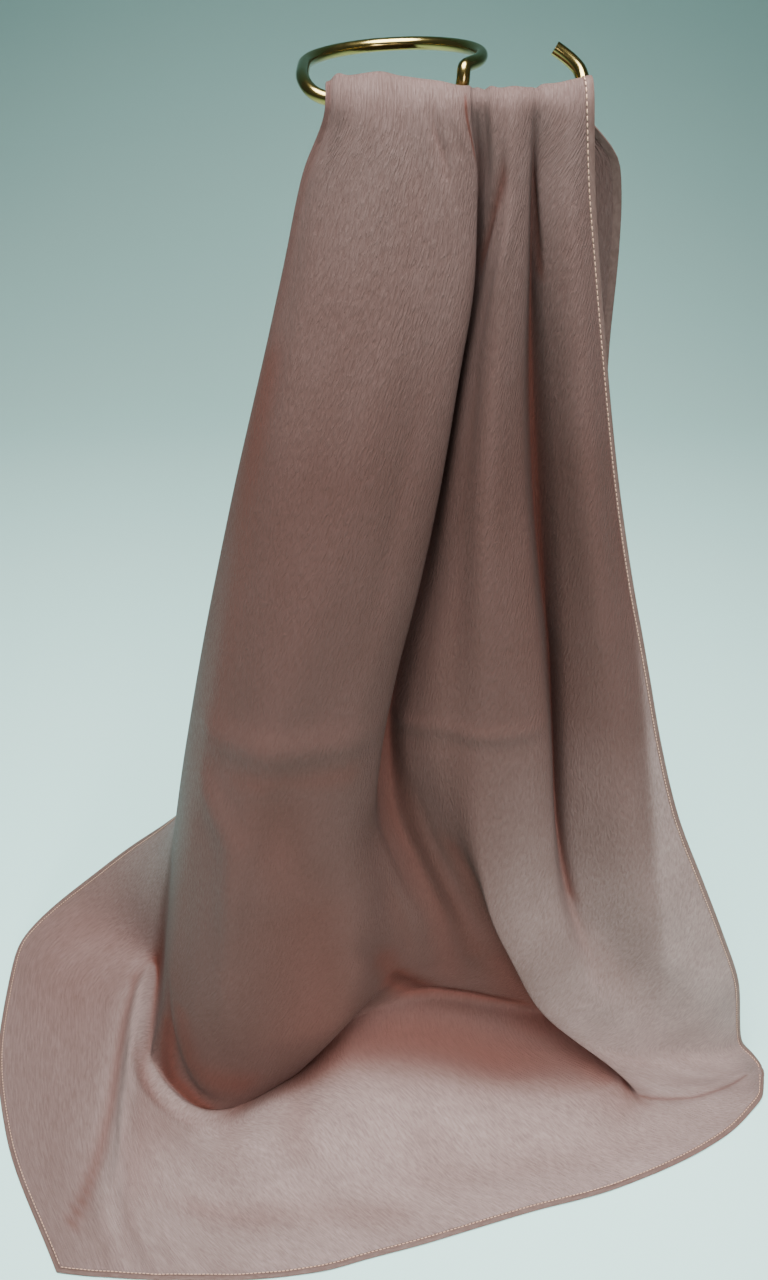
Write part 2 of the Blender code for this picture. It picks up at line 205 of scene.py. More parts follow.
# %% The fall in front of the bar
HEIGHTS = (660, 620, 570, 510, 450, 390, 330, 270, 210, 150, 95)
FALL = {                      # x and depth at each height
    "left_hem": ((4, 3), (-4, 8), (-14, 14), (-28, 22), (-44, 32), (-60, 43),
                 (-80, 56), (-102, 70), (-132, 88), (-177, 112), (-226, 133)),
    "left": ((-37, 2), (-48, 6), (-62, 10), (-79, 16), (-95, 23), (-111, 30),
             (-126, 38), (-140, 46), (-153, 55), (-166, 64), (-178, 74)),
    "crest_l": ((-1, -15), (-5, -20), (-14, -26), (-26, -32), (-40, -37), (-54, -41),
                (-68, -44), (-82, -46), (-95, -47), (-108, -48), (-119, -48)),
    "lip": ((42, -9), (43, -11), (37, -13), (29, -14), (19, -15), (7, -15),
            (-2, -15), (-6, -12), (2, -9), (8, -6), (2, -3)),
    "tuck": ((40, -3), (37, 0), (28, 2), (19, 4), (9, 5), (-2, 6),
             (-8, 4), (-3, 2), (12, 3), (24, 4), (24, 6)),
    "valley_1": ((43, 0), (43, 5), (37, 9), (28, 13), (18, 16), (8, 17),
                 (3, 15), (6, 11), (24, 9), (42, 9), (48, 12)),
    "mid_l": ((46, -5), (46, -5), (41, -5), (35, -5), (29, -5), (19, -5),
              (14, -5), (24, -5), (42, -3), (62, 1), (74, 8)),
    "root": ((51, -10), (51, -12), (48, -13), (45, -15), (42, -16), (39, -18),
             (38, -19), (46, -17), (68, -12), (95, -6), (119, 0)),
    "crest_m": ((56, -12), (56, -15), (55, -18), (55, -21), (56, -24), (58, -26),
                (60, -28), (62, -30), (70, -31), (91, -29), (114, -25)),
    "mid_r": ((65, -7), (67, -8), (68, -9), (73, -10), (83, -11), (94, -12),
              (103, -13), (109, -15), (117, -18), (134, -21), (156, -22)),
    "valley_2": ((67, -1), (70, 4), (74, 8), (81, 12), (90, 15), (100, 15),
                 (107, 11), (113, 4), (124, -4), (145, -12), (172, -18)),
    "right_l": ((70, -6), (74, -6), (82, -6), (91, -6), (100, -6), (107, -6),
                (113, -7), (119, -8), (132, -10), (156, -13), (186, -16)),
    "crest_r": ((82, -11), (88, -14), (97, -16), (107, -18), (118, -19), (130, -20),
                (142, -21), (155, -22), (173, -22), (198, -20), (226, -15)),
    "hem": ((94, -6), (101, -5), (111, -5), (124, -5), (139, -5), (156, -5),
            (173, -5), (193, -5), (219, -4), (245, -2), (267, 0)),
}
print(len(HEIGHTS), "heights down the fall")

# %% The end that lies on the table
SPREAD = {                    # foot, rim, apron, skirt and edge as x, depth, height
    "left_hem": ((-290, 141, 30), (-327, 118, 2), (-315, 20, 1), (-284, -66, 1), (-221, -163, 1)),
    "margin": ((-258, 122, 22), (-290, 88, 5), (-280, 8, 3), (-256, -76, 3), (-204, -165, 1)),
    "fold_back": ((-228, 104, 14), (-248, 68, 8), (-243, -4, 7), (-229, -84, 6), (-188, -166, 1)),
    "left": ((-199, 86, 7), (-215, 46, 9), (-212, -20, 10), (-204, -92, 7), (-172, -167, 1)),
    "shoulder_l": ((-187, 0, 5), (-199, -16, 9), (-196, -52, 9), (-182, -108, 5), (-146, -168, 1)),
    "crest_l": ((-130, -49, 5), (-134, -65, 7), (-134, -88, 8), (-126, -126, 5), (-102, -168, 1)),
    "shoulder_r": ((-70, -28, 18), (-68, -42, 21), (-67, -70, 16), (-62, -116, 7), (-46, -163, 1)),
    "lip": ((-22, -6, 64), (-20, -26, 50), (-19, -58, 31), (-17, -106, 10), (-6, -153, 1)),
    "tuck": ((12, 5, 66), (14, -16, 52), (14, -52, 32), (16, -100, 11), (26, -145, 1)),
    "valley_1": ((45, 12, 62), (48, -12, 50), (50, -48, 31), (54, -94, 11), (64, -134, 1)),
    "mid_l": ((84, 8, 58), (88, -14, 46), (92, -46, 29), (98, -86, 11), (106, -122, 1)),
    "root": ((148, 2, 50), (167, -8, 33), (183, -30, 18), (172, -70, 8), (158, -109, 1)),
    "crest_m": ((146, -27, 58), (171, -33, 38), (192, -44, 22), (207, -62, 10), (212, -89, 1)),
    "mid_r": ((188, -23, 38), (208, -28, 26), (224, -38, 15), (236, -52, 8), (243, -74, 1)),
    "valley_2": ((206, -20, 32), (228, -25, 20), (245, -33, 11), (256, -45, 6), (263, -62, 1)),
    "right_l": ((221, -17, 30), (245, -21, 17), (262, -28, 9), (273, -37, 5), (280, -48, 1)),
    "crest_r": ((255, -10, 24), (272, -13, 13), (284, -18, 7), (291, -24, 3), (295, -32, 1)),
    "hem": ((286, 2, 17), (294, 0, 8), (299, -4, 3), (301, -8, 1), (301, -14, 1)),
}
print("spread in", len(SPREAD["hem"]), "steps")


# %% [markdown]
# ## From folds to a fine sheet
# A plain spline would swing past its places and make folds that the cloth does
# not have. A monotone cubic stays between them, so a pleat keeps the depth that
# was measured. The sheet is then a grid: lines down the cloth follow its folds,
# and lines across it follow the weave.

# %% Smooth curves through the folds
def smooth(stops, values, at):
    """Monotone cubic through values at stops."""
    values = np.asarray(values, float)
    shape = (-1,) + (1,) * (values.ndim - 1)
    step = np.diff(stops).reshape(shape)
    slope = np.diff(values, axis=0) / step
    before, after = slope[:-1], slope[1:]
    w1, w2 = 2 * step[1:] + step[:-1], step[1:] + 2 * step[:-1]
    same = before * after > 0
    safe_b, safe_a = np.where(same, before, 1.0), np.where(same, after, 1.0)
    inner = np.where(same, (w1 + w2) / (w1 / safe_b + w2 / safe_a), 0.0)
    tangent = np.concatenate([slope[:1], inner, slope[-1:]])
    index = np.clip(np.searchsorted(stops, at, side="right") - 1, 0, len(stops) - 2)
    width = np.diff(stops)[index].reshape(shape)
    t = ((at - stops[index]) / np.diff(stops)[index]).reshape(shape)
    return ((2 * t**3 - 3 * t**2 + 1) * values[index]
            + (t**3 - 2 * t**2 + t) * width * tangent[index]
            + (3 * t**2 - 2 * t**3) * values[index + 1]
            + (t**3 - t**2) * width * tangent[index + 1])


def arc_stops(grid, axis):
    """Mean distance along one direction of a grid of places, from 0 up."""
    steps = np.linalg.norm(np.diff(grid, axis=axis), axis=-1).mean(axis=1 - axis)
    return np.concatenate([[0.0], np.cumsum(steps)])


def steps_between(count, pitch, stops, least):
    """Places from stop to stop, at least this many in each and about pitch apart.

    The pitch is one number for all, or one for each.
    """
    found = []
    for i, wanted_pitch in zip(range(count - 1), np.broadcast_to(pitch, count - 1)):
        pieces = max(least, round((stops[i + 1] - stops[i]) / wanted_pitch))
        found += list(i + np.arange(pieces) / pieces)
    return np.array(found + [count - 1.0])


print("curve through 0, 1, 0 at 0.5:", smooth(np.arange(3.0), [0, 1, 0], np.array([0.5])))


# %% The folds' table for the front of the scarf
def hanging_row(level):
    """Every fold at one height, with the folds between the table's own worked out."""
    at = {name: np.array(rows[level], float) for name, rows in FALL.items()}
    quarter, outward = math.sqrt(0.5), np.array((-4.0, 3.0))
    at["margin"] = at["left_hem"] * 0.64 + at["left"] * 0.36 + outward
    at["fold_back"] = at["left_hem"] * 0.28 + at["left"] * 0.72 + outward
    for name, side in (("shoulder_l", "left"), ("shoulder_r", "lip")):
        crest, edge = at["crest_l"], at[side]
        at[name] = np.array((crest[0] + quarter * (edge[0] - crest[0]),
                             edge[1] + quarter * (crest[1] - edge[1])))
    return [(*at[name], HEIGHTS[level]) for name in FOLDS]


over = [OVER_BAR[name] for name in FOLDS]
rows = [[(x, back, BAR_HEIGHT - 2.5) for x, top, front, back in over],
        [(x, (front + back) / 2, top) for x, top, front, back in over],
        [(x, front, BAR_HEIGHT - 0.5) for x, top, front, back in over]]
rows += [hanging_row(level) for level in range(len(HEIGHTS))]
rows += [[SPREAD[name][stop] for name in FOLDS] for stop in range(5)]
front_table = np.array(rows, float)
front_table[:3, -1, 0] += HEM_LEAN
front_table[:3, -2, 0] += np.array(HEM_LEAN) * 0.35
front_table[..., 2] = np.maximum(front_table[..., 2], LIFT)
down_stops, across_stops = arc_stops(front_table, 0), arc_stops(front_table, 1)
print("front cloth:", round(down_stops[-1]), "mm down,", round(across_stops[-1]), "mm across on average")

# %% The fine sheet
ROW_PITCH = (3, 3, 3, 3, 7, 9, 9, 9, 3, 5, 6, 6, 3.2, 3.2, 3.2, 3.2, 3.6, 5)    # finer where creased
FOLD_PITCH = 2.0
# down_at counts table rows, 0 behind the bar and 18 the hem; across_at counts folds,
# 0 the left hem and 17 the right
down_at = steps_between(len(down_stops), ROW_PITCH, down_stops, 4)
across_at = steps_between(len(across_stops), FOLD_PITCH, across_stops, 8)
down_mm = np.interp(down_at, range(len(down_stops)), down_stops)
across_mm = np.interp(across_at, range(len(across_stops)), across_stops)
v, u = np.meshgrid(down_mm, across_mm, indexing="ij")       # mm down and across at each place
front = smooth(down_stops, front_table, down_mm)
front = np.swapaxes(smooth(across_stops, np.swapaxes(front, 0, 1), across_mm), 0, 1)
print("grid", front.shape[0], "by", front.shape[1])


# %% Which way each place faces
def facing_of(sheet):
    """Unit normals of a grid of places, towards the side that shows."""
    directions = []
    for axis in (0, 1):
        steps = np.diff(sheet, axis=axis)
        steps = steps / np.maximum(np.linalg.norm(steps, axis=-1, keepdims=True), 1e-9)
        directions.append(np.concatenate([steps.take([0], axis), steps], axis=axis)
                          + np.concatenate([steps, steps.take([-1], axis)], axis=axis))
    facing = np.cross(directions[0], directions[1])
    return facing / np.maximum(np.linalg.norm(facing, axis=-1, keepdims=True), 1e-9)


print("the left column's front faces", facing_of(front)[60, 90].round(2))

# %% [markdown]
# ## Creases
# Satin keeps the marks of being ironed and folded, and it puckers, pulls and
# buckles where it bends. Each one here is a soft trough or ridge between two
# places on the sheet: down is the row of the table, across is the fold, and part
# numbers fall between. Heights are in millimetres, outwards.

# %% Troughs and ridges
CREASES = (
    # down, across    to down, across   width  height
    (8.62, 3.9, 8.54, 6.3, 12.0, 2.5),      # ironed line over the left column: bright upper side
    (9.25, 4.10, 9.9, 4.70, 8.0, 3.2),      # cloth that bulges forward beside the hollow
    (9.9, 4.70, 11.4, 4.95, 8.0, 4.6),
    (11.4, 4.95, 13.1, 5.15, 9.0, 4.6),
    (9.30, 5.15, 10.5, 5.55, 14.0, -5.0),   # the long hollow down the left column
    (10.5, 5.55, 12.9, 5.75, 14.0, -8.0),
    (8.80, 9.2, 8.60, 10.8, 4.0, 1.7),      # ironed line over the middle column
    (8.60, 10.8, 8.60, 12.8, 4.0, 1.6),
    (8.92, 9.5, 8.73, 12.4, 5.0, -0.3),
    (7.68, 13.3, 7.48, 15.2, 5.0, 1.1),     # ironed line over the right column
    (7.48, 15.2, 7.60, 17.0, 5.0, 1.0),
    (7.86, 13.5, 7.74, 16.8, 6.0, -0.2),
    (3.0, 11.4, 3.9, 9.8, 6.0, -3.4),       # pulled hollow at the top of the middle column
    (3.4, 12.1, 4.8, 10.8, 7.0, 1.6),
    (3.0, 14.3, 4.0, 14.8, 4.0, -2.2),      # the same on the right column
    (1.7, 6.1, 2.9, 5.9, 4.0, -2.4),        # dip beside the neck of the ring
    (1.6, 5.2, 3.4, 5.0, 8.0, 0.9),
    (1.8, 6.5, 2.6, 6.6, 4.0, 1.6),         # small knob of cloth between the dip and the lip
    (3.0, 4.3, 6.5, 4.6, 14.0, -0.9),       # shallow waves down the left column
    (3.6, 5.4, 8.0, 5.1, 13.0, 0.9),
    (4.5, 5.9, 8.0, 5.8, 9.0, -0.9),
    (9.6, 10.0, 12.6, 10.3, 8.0, -3.0),     # down the middle column, towards the tucked fold
    (5.0, 11.4, 8.0, 11.8, 8.0, 0.8),
    (9.0, 12.6, 12.5, 12.6, 6.0, 0.9),
    (10.3, 7.2, 12.7, 8.4, 6.0, 2.2),       # lit edge of the middle column's left part
    (10.0, 15.6, 14.0, 14.9, 10.0, -1.3),   # soft pulls down the right column
    (9.0, 16.4, 13.5, 15.9, 9.0, 0.9),
    (11.8, 12.9, 12.9, 12.9, 6.0, -1.4),    # small buckles in it
    (12.6, 13.4, 13.2, 13.1, 7.0, 1.8),
    (11.4, 16.1, 12.7, 16.8, 4.0, -1.0),
    (11.7, 6.3, 12.9, 7.3, 8.0, -4.5),      # groove where the columns meet the table
    (12.9, 7.3, 13.8, 8.5, 8.0, -6.5),
    (13.8, 8.5, 13.8, 10.1, 7.0, -6.0),
    (14.5, 7.4, 14.6, 10.4, 10.0, 4.2),     # and the soft roll of cloth below the groove
    (15.4, 7.0, 15.6, 10.2, 9.0, -2.4),
    (14.8, 6.0, 16.2, 8.2, 12.0, 1.8),
    (16.15, 12.0, 16.4, 13.3, 4.5, -2.2),   # pulls in the cloth that sweeps round at the right
    (16.4, 13.3, 16.15, 15.9, 4.0, -1.8),
    (15.9, 12.6, 15.9, 15.6, 5.0, 1.6),
    (16.8, 12.0, 17.3, 13.0, 4.5, 1.6),
    (17.3, 13.0, 17.5, 13.8, 4.0, -1.2),
    (12.9, 3.85, 13.5, 4.20, 6.0, -4.0),    # recess round the left column's foot
    (13.3, 4.05, 13.70, 4.60, 7.0, -6.0),
    (13.7, 4.45, 13.75, 5.0, 6.0, -4.0),
    (13.55, 3.80, 14.05, 4.15, 4.2, 3.6),   # and the narrow lit roll that rims it
    (14.00, 4.10, 14.30, 4.60, 4.2, 4.0),
    (14.30, 4.55, 14.15, 5.30, 4.2, 3.6),
    (14.55, 3.95, 14.95, 4.8, 6.0, -2.4),   # valley outside the rim
    (16.9, 4.5, 17.3, 6.2, 8.0, -1.8),      # soft bands on the end that lies on the table
    (16.5, 5.2, 17.0, 7.5, 9.0, 1.8),
    (16.2, 8.5, 16.9, 11.0, 12.0, 1.6),
    (17.1, 7.5, 17.4, 11.5, 9.0, -1.2),
    (15.2, 1.2, 17.2, 1.6, 16.0, 1.8),      # and on the flap
    (14.6, 2.2, 16.0, 2.3, 12.0, -2.2),
    (14.0, 0.6, 15.6, 0.8, 10.0, 1.4),
    (17.3, 0.7, 17.7, 2.6, 4.0, 1.6),       # small turned fold near the corner
)


def sheet_place(down, across):
    """A place of the table in millimetres down and across the sheet."""
    return np.array((np.interp(down, range(len(down_stops)), down_stops),
                     np.interp(across, range(len(across_stops)), across_stops)))


def laid(row, fade=0.6):
    """One row of a table laid on the sheet: its last number on the line, less beside it."""
    down_a, across_a, down_b, across_b, width, height = row
    a, b = sheet_place(down_a, across_a), sheet_place(down_b, across_b)
    run = b - a
    share = np.clip(((v - a[0]) * run[0] + (u - a[1]) * run[1]) / (run @ run), 0.0, 1.0)
    away = np.hypot(v - a[0] - share * run[0], u - a[1] - share * run[1])
    ends = np.sin(np.pi * np.clip(share * 0.86 + 0.07, 0, 1)) ** fade      # fades towards its ends
    return height * ends * np.exp(-(away / width) ** 2)


rise = np.zeros(front.shape[:2])
for row in CREASES:
    rise += laid(row)
print(len(CREASES), "creases, from", rise.min().round(1), "to", rise.max().round(1), "mm")

# %% Painted shade where the cloth lies in more layers, in hollows and in shaded parts
# Light reaching the eye through several layers makes satin look deeper and redder,
# and hollows lie in shade; both are painted into the colour at these places. The last
# column is the share of that painted shade; widths are in millimetres.
PAINTED_SHADE = (
    # down, across    to down, across   width  share
    (9.00, 4.6, 8.95, 6.0, 9.0, 0.15),      # under the ironed line of the left column
    (9.4, 5.20, 11.0, 5.65, 21.0, 0.17),    # down its long hollow
    (11.0, 5.65, 13.0, 5.85, 24.0, 0.21),
    (1.5, 3.3, 5.0, 3.3, 10.0, 0.20),       # its left edge, where the margin is turned behind
    (5.0, 3.4, 12.5, 4.0, 17.0, 0.36),
    (12.4, 3.85, 13.4, 4.00, 6.0, 0.34),    # the recess at its foot
    (13.4, 4.00, 13.80, 4.35, 7.0, 0.56),
    (13.8, 4.35, 13.90, 4.85, 7.0, 0.56),
    (12.9, 4.35, 13.4, 4.6, 9.0, 0.38),     # and the column's own foot, which turns under there
    (13.4, 4.6, 13.55, 5.3, 9.0, 0.30),
    (14.55, 3.95, 14.9, 4.8, 6.0, 0.14),
    (14.9, 4.7, 16.7, 4.1, 14.0, 0.13),     # cloth doubled under, between the rim and the ridge
    (12.3, 6.8, 12.9, 7.3, 9.0, 0.30),      # the groove where the columns meet the table
    (12.9, 7.3, 13.8, 8.5, 9.0, 0.68),
    (13.8, 8.5, 13.8, 10.2, 10.0, 0.66),
    (9.2, 9.2, 12.4, 10.0, 15.0, 0.20),     # the middle column's shaded left half
    (10.4, 10.7, 12.6, 10.5, 13.0, 0.26),   # and the recess beside the cloth that sweeps round
    (12.6, 10.5, 14.6, 10.5, 14.0, 0.32),
    (14.6, 10.5, 16.0, 10.8, 8.0, 0.26),
    (14.7, 6.5, 15.4, 9.8, 24.0, 0.28),
    (13.6, 0.8, 15.0, 1.2, 40.0, 0.13),     # the flap's upper part
    (8.0, 13.9, 11.2, 14.3, 7.0, 0.34),     # inside the right pleat
    (3.0, 11.4, 3.9, 9.8, 6.0, 0.30),       # pulled hollows at the top
    (3.0, 14.3, 4.0, 14.8, 4.5, 0.34),
    (1.9, 6.9, 2.7, 6.9, 2.0, 0.50),        # slit between the knob and the lip
    (16.15, 12.0, 16.4, 13.3, 3.0, 0.28),   # pulls at the right
    (16.4, 13.3, 16.15, 15.9, 3.0, 0.28),
    (16.9, 4.9, 17.2, 5.6, 8.0, 0.12),      # faint bands on the table
    (17.1, 5.6, 17.5, 7.6, 9.0, 0.10),
    (16.0, 10.5, 16.3, 11.6, 9.0, 0.16),
)
painted_shade = np.zeros(front.shape[:2])
for row in PAINTED_SHADE:
    painted_shade = np.maximum(painted_shade, laid(row, fade=0.0))
print(len(PAINTED_SHADE), "layered places, up to", painted_shade.max().round(2))

# %% Puckers along the stitched hems
def ramp(values, start, end):
    """0 at start and 1 at end, straight between; start may be the larger."""
    return np.clip((values - start) / (end - start), 0.0, 1.0)


def puckers(from_edge, middle, reach, run, pitch, swing, lag):
    """Small waves along a hem, strongest at middle mm from its edge and never quite even."""
    near = np.exp(-((from_edge - middle) / reach) ** 2)
    return near * np.sin(2 * np.pi * run / pitch + swing * np.sin(run / lag))


tight = np.maximum(ramp(v, down_stops[6], down_stops[2]), 0.25)      # the right hem pulls most up by the bar
rise += 0.45 * tight * puckers(across_mm[-1] - u, 7.0, 5.0, v, 5.4, 0.8, 23.0)
rise += 0.3 * puckers(u, 6.0, 4.0, v, 7.1, 1.0, 31.0)
rise += 0.3 * puckers(down_mm[-1] - v, 6.0, 5.0, u, 9.3, 1.0, 17.0)
print("right hem puckers to", (0.45 * tight.max()).round(2), "mm")

# %% Small unevenness of a cloth that hangs
WAVE_COUNT, WAVE_HEIGHT = 14, 0.14
rng = np.random.default_rng(4)
waves = np.zeros_like(rise)
for _ in range(WAVE_COUNT):
    along, across = rng.uniform(140, 420), rng.uniform(22, 60)
    waves += np.sin(2 * np.pi * v / along + rng.uniform(0, 6.3)) * np.sin(
        2 * np.pi * u / across + rng.uniform(0, 6.3)) * WAVE_HEIGHT
rise += waves
front = front + facing_of(front) * rise[..., None]
print("whole front moved between", rise.min().round(1), "and", rise.max().round(1), "mm")

# %% The long ridge over the flap
# It runs from the left column's foot to the corner, with a valley close on its
# left. The cloth lies flat here, so both are given by place on the table (x, y in
# mm) and only lift or lower it.
FLAP_RIDGE = ((-203, 86), (-205, 50), (-201, 7), (-196, -33), (-192, -74), (-192, -110), (-197, -130))
FLAP_VALLEY = ((-214, 78), (-213, 29), (-211, -8), (-208, -51), (-209, -80), (-213, -113), (-218, -130))


def near_line(points, width):
    """How near each place lies to a line over the table: 1 on it, 0 well away."""
    x, y = front[..., 0], front[..., 1]
    away = np.full(x.shape, 1e6)
    for (xa, ya), (xb, yb) in zip(points, points[1:]):
        run_x, run_y = xb - xa, yb - ya
        share = np.clip(((x - xa) * run_x + (y - ya) * run_y) / (run_x ** 2 + run_y ** 2), 0.0, 1.0)
        away = np.minimum(away, np.hypot(x - xa - share * run_x, y - ya - share * run_y))
    return np.exp(-(away / width) ** 2)


near_table = ramp(front[..., 2], 30.0, 15.0)
beside = near_line(FLAP_VALLEY, 5.0) * near_table
front[..., 2] += 6.0 * near_line(FLAP_RIDGE, 7.5) * near_table - 3.0 * beside
front[..., 2] = np.maximum(front[..., 2], LIFT - 0.3)
# painted shade in the valley beside the ridge
painted_shade = np.maximum(painted_shade, 0.26 * beside)
print("valley tinted at", int((beside > 0.5).sum()), "places")

# %% No crease is sharper than the cloth allows
bend = ramp(across_at[None, :], 3.1, 2.4) * np.exp(-((down_at[:, None] - 13.6) / 1.3) ** 4)
for _ in range(60):           # the margin runs out on to the table in one wide bend
    front[1:-1] += (bend[1:-1] * 0.5)[..., None] * (0.5 * (front[:-2] + front[2:]) - front[1:-1])
for _ in range(2):
    front[1:-1] = 0.25 * front[:-2] + 0.5 * front[1:-1] + 0.25 * front[2:]
    front[:, 1:-1] = 0.25 * front[:, :-2] + 0.5 * front[:, 1:-1] + 0.25 * front[:, 2:]
print("smoothed front is", np.ptp(front[..., 0]).round(1), "mm wide")

# %% [markdown]
# ## Making meshes of the sheets
# Each sheet becomes a mesh with a map measured along the threads, so that the
# weave keeps its size wherever the cloth bends. Solidify then gives it the
# thickness of a real fabric, and it is applied, so nothing is left to change.

# %% Sheet to mesh
def metres(places):
    return (np.asarray(places, float) - (ORIGIN[0], ORIGIN[1], 0.0)) / 1000.0


def thread_lengths(sheet):
    """Distance along and across the cloth at each place, in metres."""
    down = np.linalg.norm(np.diff(sheet, axis=0), axis=-1)
    down = np.concatenate([np.zeros((1, sheet.shape[1])), np.cumsum(down, axis=0)])
    across = np.linalg.norm(np.diff(sheet, axis=1), axis=-1)
    across = np.concatenate([np.zeros((sheet.shape[0], 1)), np.cumsum(across, axis=1)], axis=1)
    mean = across.mean(axis=0)
    return (0.5 * across + 0.5 * mean) / 1000.0, down.mean(axis=1)[:, None] * np.ones_like(across) / 1000.0


def set_thread_map(mesh, map_at):
    """The map along the threads: one place in metres for each vertex."""
    layer = mesh.uv_layers.new(name="thread_map")
    corner = np.zeros(len(mesh.loops), np.int32)
    mesh.loops.foreach_get("vertex_index", corner)
    layer.data.foreach_set("uv", map_at.reshape(-1, 2)[corner].astype(np.float32).ravel())


def select_only(made):
    bpy.ops.object.select_all(action="DESELECT")
    bpy.context.view_layer.objects.active = made
    made.select_set(True)


def depth_in_folds(sheet, reach=13.0, deepest=14.0):
    """How far each place lies behind the cloth around it, from 0 on a ridge to 1 in a deep pleat."""
    around = sheet
    for axis in (0, 1):
        around = np.moveaxis(around, axis, 0).copy()
        pitch = np.linalg.norm(np.diff(sheet, axis=axis), axis=-1).mean()
        for _ in range(int(1.5 * (reach / pitch) ** 2)):
            around[1:-1] = (around[:-2] + around[1:-1] + around[2:]) / 3
        around = np.moveaxis(around, 0, axis)
    behind = ((around - sheet) * facing_of(sheet)).sum(axis=-1)
    return np.clip(behind / deepest, 0.0, 1.0)


def sheet_object(name, sheet, layer_shade_and_wrong_side, pleat):
    """A grid of places as a thin closed cloth, with thread_map and its two attributes."""
    count_down, count_across = sheet.shape[:2]
    index = np.arange(count_down * count_across).reshape(count_down, count_across)
    quads = np.stack([index[:-1, :-1], index[1:, :-1], index[1:, 1:], index[:-1, 1:]], axis=-1)
    mesh = bpy.data.meshes.new(name)
    mesh.from_pydata(metres(sheet).reshape(-1, 3).tolist(), [], quads.reshape(-1, 4).tolist())
    set_thread_map(mesh, np.stack(thread_lengths(sheet), axis=-1))
    for attribute, values in (("layer_shade_and_wrong_side", layer_shade_and_wrong_side), ("pleat", pleat)):
        made = mesh.attributes.new(attribute, "FLOAT", "POINT")
        made.data.foreach_set("value", values.ravel().astype(np.float32))
    mesh.shade_smooth()
    made = link_object(name, mesh)
    shell = made.modifiers.new("thickness", "SOLIDIFY")
    shell.thickness, shell.offset = CLOTH / 1000.0, 0.0
    select_only(made)
    bpy.ops.object.modifier_apply(modifier="thickness")
    made.select_set(False)
    print(name, "has", sum(len(p.vertices) - 2 for p in made.data.polygons), "triangles")
    return made


# %% Painted shade where a second layer lies close behind
# The rear end of the scarf hangs behind the front one. Through thin satin its
# edge shows as a straight line: redder inside it, greyer outside. Here that is
# painted into the colour: a darker, redder tone with a layer behind, a greyer one
# where the pale table's light would come through. Out on the table
# the cloth is single, from the row that the second table gives for each fold.
BACK_EDGE = ((110, 205), (170, 194), (230, 182), (290, 171), (350, 160), (410, 148), (660, 112))   # z, x
FOLDED_UNDER = ((0, 13.8), (4.5, 14.0), (5, 14.4), (6, 15.0), (8, 15.5), (10, 15.9), (12, 16.4), (17, 16.2))
height = front[..., 2]
edge_x = np.interp(height, *zip(*BACK_EDGE))
last_row = np.interp(across_at, *zip(*FOLDED_UNDER))
margin_share = ramp(across_at, 3.0, 2.4)[None, :]
right_share = ramp(across_at, 11.5, 12.5)[None, :]      # there the rear end hangs further off
front_shade_and_wrong_side = 1.0 / (1.0 + np.exp((front[..., 0] - edge_x) / 1.2))
front_shade_and_wrong_side = front_shade_and_wrong_side / (1.0 + np.exp((down_at[:, None] - last_row) / 0.14))
# painted light: on the right the layer shade fades towards the table, so the lower cloth there is paler
front_shade_and_wrong_side = front_shade_and_wrong_side * (1.0 - right_share * (1.0 - np.clip((height - 30.0) / 330.0, 0.15, 1.0)))
# painted light: the cloth is made paler up by the bar
front_shade_and_wrong_side = front_shade_and_wrong_side * (1.0 - 0.4 * ramp(height, 520.0, 700.0))        # paler up by the bar
front_shade_and_wrong_side = front_shade_and_wrong_side * (1.0 - margin_share * ramp(height, 260.0, 140.0))
front_shade_and_wrong_side = np.maximum(front_shade_and_wrong_side, 0.42 * margin_share)      # the duller wrong side shows on the flap
# painted shade: darker in deep pleats and at the listed places, less on the margin and flap and where the right
# pleat opens out
shallow = 0.55 * right_share * ramp(height, 350.0, 250.0)       # the right pleat opens out
inner = np.maximum(depth_in_folds(front) * (1.0 - np.maximum(0.85 * margin_share, shallow)), painted_shade)
front_satin = sheet_object("front_satin", front, front_shade_and_wrong_side, inner)
print("share with a layer behind", front_shade_and_wrong_side.mean().round(2))

# %% [markdown]
# ## The rear fall
# The end behind the bar is not seen from the front. It is the same cloth, left
# to hang, so it gets a few deep soft waves, some shallow pulls and a hem.

# %% Rear fall
BACK = (                      # height, left edge, right edge, depth, height of its waves
    (660, -28, 110, 15, 2),
    (620, -30, 116, 22, 4),
    (570, -34, 119, 29, 6),
    (500, -38, 127, 37, 8),
    (420, -42, 152, 45, 10),
    (330, -46, 178, 52, 11),
    (240, -52, 194, 59, 12),
    (150, -60, 210, 66, 12),
    (80, -66, 222, 71, 13),
    (26, -70, 230, 74, 13),
)
BACK_WAVES = 3
# painted shade: the rear fall lies behind the front and is darkened in the colour
BACK_LAYER_SHADE = 0.75           # how far the layers before it deepen its colour
left_column = int(np.searchsorted(across_at, 3.0))
top_edge = smooth(down_stops, front_table, down_stops[:1])[0]
top_edge = smooth(across_stops, top_edge, across_mm[left_column:])
share = np.linspace(0.0, 1.0, len(top_edge))
rear_rows = [top_edge - (0.0, 0.0, 0.2)]
for height, left, right, depth, wave in BACK:
    x = left + (right - left) * share
    y = depth + wave * np.cos(2 * math.pi * BACK_WAVES * share)
    rear_rows.append(np.stack([x, y, np.full_like(x, height)], axis=-1))
rear_table = np.array(rear_rows)
rear_stops = arc_stops(rear_table, 0)
rear_mm = np.interp(steps_between(len(rear_stops), 5.5, rear_stops, 5), range(len(rear_stops)), rear_stops)
rear = smooth(rear_stops, rear_table, rear_mm)[:, ::-1]
s = np.linspace(0, 1, rear.shape[1])[None, :]
t = (rear_mm / rear_mm[-1])[:, None]
pulls = 1.3 * np.sin(7.3 * np.pi * s + 2.1 * t) * t
pulls = pulls + 0.8 * np.sin(13.1 * np.pi * s - 3.4 * t + 1.0) * t * (1 - 0.4 * t)
ironed = 1.0 * np.exp(-((t - 0.52) / 0.010) ** 2) - 0.8 * np.exp(-((t - 0.545) / 0.014) ** 2)
